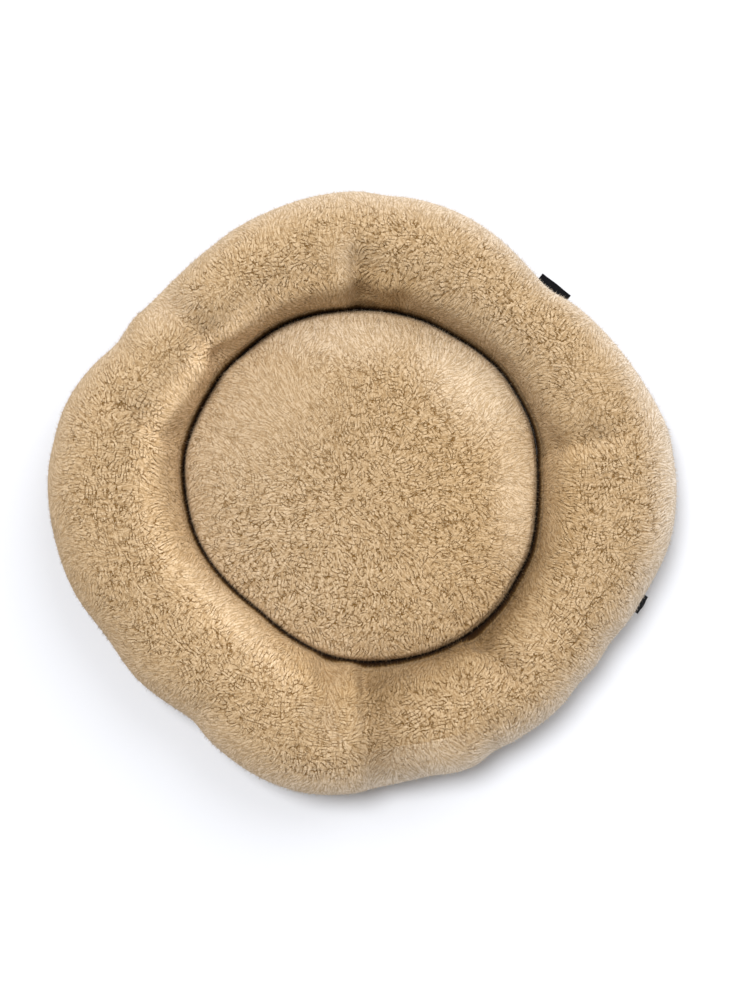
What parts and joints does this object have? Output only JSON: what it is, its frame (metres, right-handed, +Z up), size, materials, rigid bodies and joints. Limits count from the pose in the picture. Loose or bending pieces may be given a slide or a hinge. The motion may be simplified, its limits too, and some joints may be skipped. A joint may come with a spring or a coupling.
{
  "type": "round fleece pet bed",
  "caption": "Round plush pet bed: a stuffed ring with soft folds around a crowned cushion, with black folded woven tabs in its outer seam.",
  "frame": {"origin": "on the floor, under the middle of the ring's outline", "axes": "+Z up, +X to the right and +Y towards the top in the overhead picture"},
  "size_m": [0.698, 0.6702, 0.1169],
  "materials": {
    "ring_fleece": "matt beige plush with a short, clumped pile",
    "cushion_fleece": "matt beige plush with a short, clumped pile",
    "woven_tab": "satin black woven tape"
  },
  "bodies": {
    "root": {"ring": "ring_fleece", "cushion": "cushion_fleece", "side_tab_large": "woven_tab", "side_tab_small": "woven_tab"}
  },
  "joints": []
}
